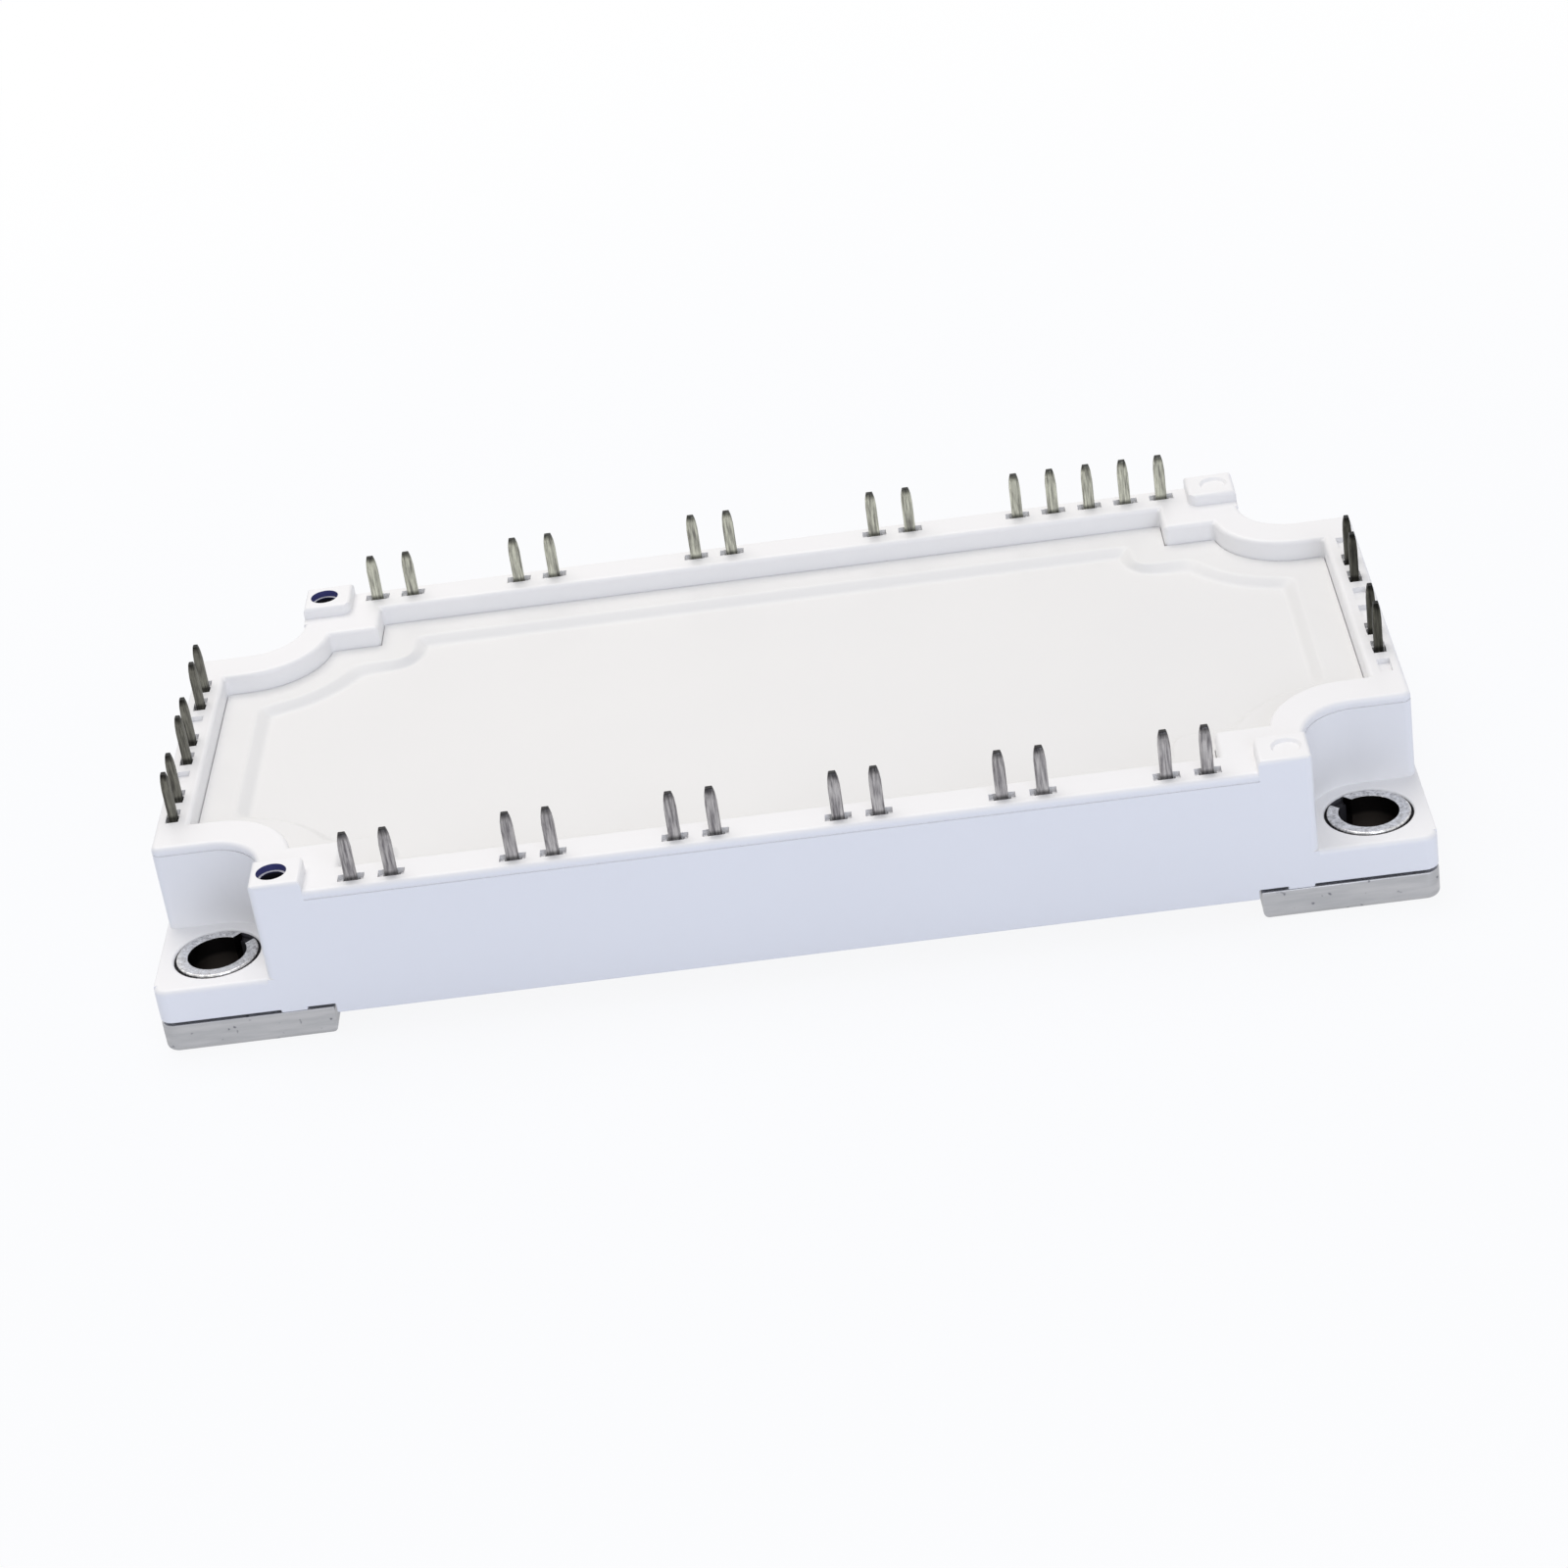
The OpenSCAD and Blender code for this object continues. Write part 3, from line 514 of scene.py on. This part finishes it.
# The walls move out by this much, so that the gap round the lid is as narrow as the real one
LID_GROWTH = 0.07
lid_work = merged_copy("lid")
outward = {}
for wall in lid_work.faces:
    if abs(wall.normal.z) < 0.1 and wall.normal.dot(wall.calc_center_median()) > 0:
        for vertex in wall.verts:
            outward.setdefault(vertex, []).append(wall.normal.copy())
for vertex, (first, second) in outward.items():
    vertex.co += (first + second) / (1 + first.dot(second)) * LID_GROWTH * MM
print("moved", len(outward), "points and rounded", round_edges(lid_work, 0.1, lid_rim), "edges")


# %% Helpers for closed outlines
def outlines(faces):
    """Closed outlines of a group of faces, as lists of their vertices in order."""
    steps = {(loop.vert, loop.link_loop_next.vert) for f in faces for loop in f.loops}
    after = {a: b for a, b in steps if (b, a) not in steps}
    found = []
    while after:
        line = [min(after, key=lambda v: v.index)]
        while after[line[-1]] is not line[0]:
            line.append(after[line[-1]])
        for vertex in line:
            del after[vertex]
        found.append(line)
    return found


def even_points(corners, step):
    """Points at an even step along a closed outline, in mm."""
    points, left = [], 0.0
    for a, b in zip(corners, corners[1:] + corners[:1]):
        length = (b - a).length
        while left < length:
            points.append(a.lerp(b, left / length))
            left += step
        left -= length
    return points


def softened(points, passes):
    """Outline whose points have been drawn towards their neighbours a number of times."""
    for _ in range(passes):
        after = points[1:] + points[:1]
        points = [(points[i - 1] + 2 * points[i] + after[i]) / 4 for i in range(len(points))]
    return points


def nearest(line, place):
    """Number of the point of an outline that lies nearest to a place."""
    return min(range(len(line)), key=lambda i: (line[i].co - place).length)


def stretch(line, first, last):
    """Points of a closed outline from one number on to another."""
    return [line[i % len(line)] for i in range(first, last + 1 if last > first else last + len(line) + 1)]


square = [Vector(corner) for corner in ((0, 0, 0), (4, 0, 0), (4, 4, 0), (0, 4, 0))]
print("a square of 4 mm gets", len(even_points(square, 0.5)), "points at a step of 0.5 mm")

# %% Outline of the dish
DISH_STEP, DISH_PASSES = 0.4, 8
lid_work.normal_update()
lid_work.verts.index_update()
border_level = max(v.co.z for v in lid_work.verts)
upper = [f for f in lid_work.faces if f.normal.z > 0.99]
border = [f for f in upper if f.calc_center_median().z > border_level - 0.1 * MM]
dish = [f for f in upper if f not in border]
top_row = softened(even_points([v.co / MM for v in outlines(dish)[0]], DISH_STEP), DISH_PASSES)
outer_line = max(outlines(border), key=lambda line: max(v.co.x for v in line))
print("dish outline has", len(top_row), "points and the lid's outer edge", len(outer_line))

# %% Rows down the side of the dish, as mm inwards and mm down
DISH_PROFILE = ((0, 0), (0.2, 0.03), (0.45, 0.15), (1, 0.6), (1.25, 0.78), (1.5, 0.87), (1.75, 0.9))
# Rows further in need more softening, because the outline's inner corners get tighter
PASSES_PER_MM = 20
sides = [f for f in lid_work.faces if abs(f.normal.z) < 0.1 and f.normal.dot(f.calc_center_median()) < 0]
bmesh.ops.delete(lid_work, geom=border + dish + sides, context="FACES")
rows = []
for inwards, down in DISH_PROFILE:
    row = []
    for i, place in enumerate(top_row):
        ahead = (top_row[(i + 1) % len(top_row)] - top_row[i - 1]).normalized()
        row.append(place + Vector((-ahead.y, ahead.x, 0)) * inwards)
    row = softened(row, round(PASSES_PER_MM * inwards))
    height = border_level / MM - down
    rows.append([lid_work.verts.new(Vector((p.x, p.y, height)) * MM) for p in row])
count = len(top_row)
for above, below in zip(rows, rows[1:]):
    for i in range(count):
        lid_work.faces.new((above[i], above[(i + 1) % count], below[(i + 1) % count], below[i]))
lid_work.faces.new(rows[-1])
print(len(rows), "rows of", count, "points")

# %% Border of the lid, in two faces
cuts = [nearest(outer_line, Vector(corner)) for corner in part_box("lid")]
inner_cuts = [nearest(rows[0], outer_line[cut].co) for cut in cuts]
for one, other in ((0, 1), (1, 0)):
    lid_work.faces.new(stretch(outer_line, cuts[one], cuts[other])
                       + stretch(rows[0], inner_cuts[one], inner_cuts[other])[::-1])
bmesh.ops.recalc_face_normals(lid_work, faces=lid_work.faces)
print("open edges:", sum(1 for e in lid_work.edges if len(e.link_faces) != 2))

# %% Dress the lid
lid_piece = finished_piece(lid_work, "moulded_lid", (lid_plastic,))
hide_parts("lid")


# %% [markdown]
# ## Baseplate and bushes
#
# The baseplate is punched from sheet, so only its edges need softening, most at the lower edge of the ears'
# inner ends. Those ends meet the rounded edges beside them in very short edges, which a bevel can't pass, so
# they are cut at a few levels and each level is moved along a circle. The bushes are rolled from strip. Their
# bores and slits, and the holes under them, get the dark walls of painted shade.

# %% Round the lower edge of the ears' inner ends
# Distance of these ends from the middle of the plate, the radius of their rounding, and its levels, in mm
EAR_END, PUNCH_RADIUS = 43.9, 1.0
PUNCH_LEVELS = {0.7, 0.8, 0.9, PUNCH_RADIUS}


def at_ear_end(place):
    """True at the inner ends of the baseplate's ears, for a place in metres."""
    return abs(abs(place.x) / MM - EAR_END) < 0.01


def round_ear_ends(work):
    """Rounds the lower edge of the ears' inner ends, level by level. Returns the number of faces there."""
    work.normal_update()
    heights = {round(v.co.z / MM, 4) for v in work.verts if at_ear_end(v.co)}
    for level in sorted({h for h in heights if 0 < h < PUNCH_RADIUS} | PUNCH_LEVELS):
        ends = [f for f in work.faces if abs(f.normal.x) > 0.99 and at_ear_end(f.calc_center_median())]
        around = {part for f in ends for part in [f, *f.edges, *f.verts]}
        bmesh.ops.bisect_plane(work, geom=list(around), dist=0.001 * MM, plane_co=(0, 0, level * MM),
                               plane_no=(0, 0, 1))
    for vertex in work.verts:
        below = PUNCH_RADIUS - vertex.co.z / MM
        if at_ear_end(vertex.co) and below > 0:
            inset = PUNCH_RADIUS - math.sqrt(PUNCH_RADIUS ** 2 - below ** 2)
            vertex.co.x += math.copysign(inset * MM, vertex.co.x)
    return len(ends)


plate_work = merged_copy("baseplate")
print("the ears' inner ends have", round_ear_ends(plate_work), "faces")


# %% Dress the baseplate
def anywhere(edge):
    """True for every edge."""
    return True


def plate_wall(place, normal):
    """Finish of the baseplate's faces: 1 in its holes, else 0."""
    return 1 if from_bush(place) < BORE + HAIR and abs(normal.z) < 0.5 else 0


print("rounded", round_edges(plate_work, 0.15, anywhere, shortest=1))
plate_piece = finished_piece(plate_work, "plated_baseplate", (nickel, bore_metal), plate_wall)
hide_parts("baseplate")


# %% Dress the bushes
def flange_lip(edge):
    """True for the edges of a bush's flange beyond its tube."""
    return from_bush(middle_of(edge)) > TUBE + HAIR


def bush_wall(place, normal):
    """Finish of a bush's faces: 1 in its bore and slit, else 0."""
    return 1 if from_bush(place) < TUBE - HAIR and abs(normal.z) < 0.5 else 0


for corner in ("front_left", "front_right", "rear_left", "rear_right"):
    bush_work = merged_copy("bush_" + corner)
    print("rounded", round_edges(bush_work, 0.14, flange_lip), round_edges(bush_work, 0.1, anywhere))
    bush = finished_piece(bush_work, "rolled_bush_" + corner, (zinc, bore_metal), bush_wall)
    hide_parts("bush_" + corner)


# %% [markdown]
# ## Solder pins
#
# Each pin is one piece of flat wire, bent at the foot and bevelled at the tip. A pin follows a path, so
# Geometry Nodes sweep one rounded cross-section along all thirty-five paths at once. The paths are plain
# edges from the foot over the bend to the tip. Each point stores a size, which thins the tip, and a tint,
# which gives each row its painted light and shade, paints shade where the pin leaves the rim and darkens
# its sheared end.

# %% Paths of the pins, read from the imported pins
pin_names = sorted(n for n in nodes if n.startswith("pin_") and n != "pin_wires")
# Points above the bend: height over the rim or below the tip in mm, size and shade. Just above the rim the
# shade is painted shade, and near the tip it darkens the sheared end
FROM_RIM = ((0.1, 1, 0.25), (0.45, 1, 1))
BELOW_TIP = ((1.6, 1, 1), (0.75, 0.88, 0.9), (0.3, 0.72, 0.35), (0, 0.58, 0.08))
# Tone of each row of pins: painted light and shade for how light falls on that side of the module
ROW_PAINTED_LIGHT = {"front": (0.68, 0.67, 0.68), "rear": (0.82, 0.84, 0.71), "left": (0.28, 0.28, 0.24),
             "right": (0.12, 0.12, 0.1)}
path_points, path_edges, path_sizes, path_tints = [], [], [], []
for name in pin_names:
    low, high = (Vector(v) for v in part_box(name))
    along = Vector((0, 1, 0)) if high.y - low.y > high.x - low.x else Vector((1, 0, 0))
    middle = (low + high) / 2
    outward = along if middle.dot(along) > 0 else -along
    reach = (high - low).dot(along)
    foot = Vector((middle.x, middle.y, low.z + PIN_THICKNESS / 2 * MM)) - outward * (reach / 2)
    bend = foot + outward * (reach - PIN_THICKNESS / 2 * MM)
    points = [(foot, 1, 1), (bend, 1, 1)]
    points += [(Vector((bend.x, bend.y, (RIM + up) * MM)), size, shade) for up, size, shade in FROM_RIM]
    points += [(Vector((bend.x, bend.y, high.z - down * MM)), size, shade) for down, size, shade in BELOW_TIP]
    first = len(path_points)
    path_points += [place for place, size, shade in points]
    path_edges += [(first + i, first + i + 1) for i in range(len(points) - 1)]
    path_sizes += [size for place, size, shade in points]
    for place, size, shade in points:
        path_tints += [part * shade for part in ROW_PAINTED_LIGHT[name.split("_")[1]]] + [1]
print(len(pin_names), "paths,", len(path_points), "points")

# %% Inputs of the tree that sweeps the pins, in mm
PIN_SIZES = {"Width": 1.15, "Thickness": PIN_THICKNESS, "Edge radius": 0.14, "Bend radius": 0.45}
sweep = bpy.data.node_groups.new("sweep_pins", "GeometryNodeTree")
sockets = sweep.interface
sockets.new_socket("Geometry", in_out="INPUT", socket_type="NodeSocketGeometry")
inputs = {}
for label, value in PIN_SIZES.items():
    inputs[label] = sockets.new_socket(label, in_out="INPUT", socket_type="NodeSocketFloat")
    inputs[label].default_value = value * MM
inputs["Finish"] = sockets.new_socket("Finish", in_out="INPUT", socket_type="NodeSocketMaterial")
sockets.new_socket("Geometry", in_out="OUTPUT", socket_type="NodeSocketGeometry")
print("the sweep takes", list(inputs))

# %% Sweep a rounded cross-section along the paths
given = add(sweep, "NodeGroupInput").outputs
size = add(sweep, "GeometryNodeInputNamedAttribute", {"data_type": "FLOAT"}, {"Name": "size"})
paths = add(sweep, "GeometryNodeMeshToCurve", links={"Mesh": given["Geometry"]})
bent = add(sweep, "GeometryNodeFilletCurve", {"mode": "POLY"}, {"Count": 5},
           {"Curve": paths.outputs["Curve"], "Radius": given["Bend radius"]})
section = add(sweep, "GeometryNodeCurvePrimitiveQuadrilateral",
              links={"Width": given["Width"], "Height": given["Thickness"]})
soft_section = add(sweep, "GeometryNodeFilletCurve", {"mode": "POLY"}, {"Count": 3},
                   {"Curve": section.outputs["Curve"], "Radius": given["Edge radius"]})
swept = add(sweep, "GeometryNodeCurveToMesh", values={"Fill Caps": True},
            links={"Curve": bent.outputs["Curve"], "Profile Curve": soft_section.outputs["Curve"],
                   "Scale": size.outputs["Attribute"]})
real = add(sweep, "GeometryNodeRealizeInstances", links={"Geometry": swept.outputs["Mesh"]})
finished = add(sweep, "GeometryNodeSetMaterial",
               links={"Geometry": real.outputs["Geometry"], "Material": given["Finish"]})
add(sweep, "NodeGroupOutput", links={"Geometry": finished.outputs["Geometry"]})
print(sweep.name, "has", len(sweep.nodes), "nodes")

# %% Make the pins a plain mesh
path_mesh = bpy.data.meshes.new("pin_paths")
path_mesh.from_pydata(path_points, path_edges, [])
path_mesh.attributes.new("size", "FLOAT", "POINT").data.foreach_set("value", path_sizes)
path_mesh.attributes.new("tint", "FLOAT_COLOR", "POINT").data.foreach_set("color", path_tints)
pins = bpy.data.objects.new("solder_pins", path_mesh)
bpy.context.collection.objects.link(pins)
modifier = pins.modifiers.new("sweep", "NODES")
modifier.node_group = sweep
for label, socket in inputs.items():
    modifier[socket.identifier] = tin if label == "Finish" else socket.default_value
graph = bpy.context.evaluated_depsgraph_get()
pin_mesh = bpy.data.meshes.new_from_object(pins.evaluated_get(graph))
pins.modifiers.clear()
pins.data = pin_mesh
pin_mesh.name = "solder_pins"
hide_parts(*pin_names)
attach(pins, "root")
print("solder_pins has", len(pin_mesh.polygons), "faces and", [a.name for a in pin_mesh.attributes])


# %% [markdown]
# ## Inner pieces
#
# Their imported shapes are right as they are, so each only gets its finish.

# %% Give the inner pieces their finishes
inner = {
    "ceramic": alumina, "copper": copper, "transistor": silicon, "freewheel": silicon,
    "rectifier": silicon, "thermistor": thermistor_body, "chip_wires": wire, "pin_wires": wire,
    "frame_adhesive": adhesive, "silicone": gel,
}
for name, obj in nodes.items():
    for start, finish in inner.items():
        if name.startswith(start):
            obj.data.materials.clear()
            obj.data.materials.append(finish)
            print(name, "is", finish.name)


# %% [markdown]
# ## Floor and light
#
# The module lies on a plain white floor under soft studio light: a wide lamp above and behind, a weak cool
# one in front, and an even pale surround. The floor is shown nearly white to the camera and in
# reflections. Part of its own shading stays near the object, which keeps its shadow, and further away the
# floor fades to pure white, so no horizon shows. It is clear from below, so that the underside can be seen.

# %% Floor, a hair below the underside, so that the two never lie in one plane
FLOOR_LEVEL = -0.02 * MM
# Half the floor's width in metres
REACH = 3
floor_mesh = bpy.data.meshes.new("floor")
floor_corners = [(x * REACH, y * REACH, FLOOR_LEVEL) for x, y in ((-1, -1), (1, -1), (1, 1), (-1, 1))]
floor_mesh.from_pydata(floor_corners, [], [(0, 1, 2, 3)])
floor = bpy.data.objects.new("floor", floor_mesh)
bpy.context.collection.objects.link(floor)
print("floor is", floor.dimensions[0], "m wide")

# %% White paper of the floor
# Share of pure white near the module, and the distances in metres where it starts to rise and where it is 1
NEAR_WHITE, FADE_START, FADE_END = 0.9, 0.06, 0.3
paper = bpy.data.materials.new("white_paper_floor")
paper.use_nodes = True
paper_tree = paper.node_tree
paper_tree.nodes.clear()
shaded = add(paper_tree, "ShaderNodeBsdfDiffuse", values={"Color": colour("#D8E1F5")})
bright = add(paper_tree, "ShaderNodeEmission", values={"Color": (1, 1, 1, 1), "Strength": 1})
ray = add(paper_tree, "ShaderNodeLightPath").outputs
seen = add(paper_tree, "ShaderNodeMath", {"operation": "MAXIMUM"},
           links={0: ray["Is Camera Ray"], 1: ray["Is Glossy Ray"]})
spot = add(paper_tree, "ShaderNodeTexCoord").outputs["Object"]
away = add(paper_tree, "ShaderNodeVectorMath", {"operation": "LENGTH"}, links={0: spot})
whiter = add(paper_tree, "ShaderNodeMapRange", {"interpolation_type": "SMOOTHSTEP"},
             {"From Min": FADE_START, "From Max": FADE_END, "To Min": NEAR_WHITE, "To Max": 1},
             {"Value": away.outputs["Value"]})
share = add(paper_tree, "ShaderNodeMath", {"operation": "MULTIPLY"},
            links={0: seen.outputs[0], 1: whiter.outputs["Result"]})
mixed = add(paper_tree, "ShaderNodeMixShader",
            links={0: share.outputs[0], 1: shaded.outputs[0], 2: bright.outputs[0]})
below = add(paper_tree, "ShaderNodeNewGeometry").outputs["Backfacing"]
clear = add(paper_tree, "ShaderNodeBsdfTransparent")
one_sided = add(paper_tree, "ShaderNodeMixShader",
                links={0: below, 1: mixed.outputs[0], 2: clear.outputs[0]})
add(paper_tree, "ShaderNodeOutputMaterial", links={"Surface": one_sided.outputs[0]})
floor_mesh.materials.append(paper)
print(paper.name, "has", len(paper_tree.nodes), "nodes")

# %% Lamps
def lamp(name, place, aim, width, watts, tint):
    """Square area lamp at a place in metres, turned to its aim."""
    data = bpy.data.lights.new(name, "AREA")
    data.size = width
    data.energy = watts
    data.color = colour(tint)[:3]
    made = bpy.data.objects.new(name, data)
    bpy.context.collection.objects.link(made)
    made.location = place
    made.rotation_euler = (Vector(aim) - Vector(place)).to_track_quat("-Z", "Y").to_euler()
    return made


above = lamp("lamp_above", (-0.15, 0.35, 0.75), aim=(0, 0, 0), width=0.7, watts=3.8, tint="#FFFAF4")
front = lamp("lamp_front", (0.25, -0.8, 0.35), aim=(0, 0, 0.01), width=0.5, watts=2.0, tint="#EAF0FF")
print(above.name, "gives", round(above.data.energy, 1), "W and", front.name, round(front.data.energy, 1), "W")

# %% Surround, pale for the object and white for what sees it
world = bpy.data.worlds.new("pale_surround")
bpy.context.scene.world = world
world.use_nodes = True
sky = world.node_tree
sky.nodes.clear()
soft = add(sky, "ShaderNodeBackground", values={"Color": colour("#F5F5F8"), "Strength": 0.56})
white = add(sky, "ShaderNodeBackground", values={"Color": (1, 1, 1, 1), "Strength": 1})
sky_ray = add(sky, "ShaderNodeLightPath").outputs
direct = add(sky, "ShaderNodeMix", {"data_type": "FLOAT"}, {3: 1.0},
             {0: sky_ray["Is Glossy Ray"], 2: sky_ray["Is Camera Ray"]})
through = add(sky, "ShaderNodeMath", {"operation": "MAXIMUM"},
              links={0: direct.outputs[0], 1: sky_ray["Is Transmission Ray"]})
both = add(sky, "ShaderNodeMixShader", links={0: through.outputs[0], 1: soft.outputs[0], 2: white.outputs[0]})
add(sky, "ShaderNodeOutputWorld", links={"Surface": both.outputs[0]})
bpy.context.scene.view_settings.view_transform = "Standard"
print(world.name, "has", len(sky.nodes), "nodes")
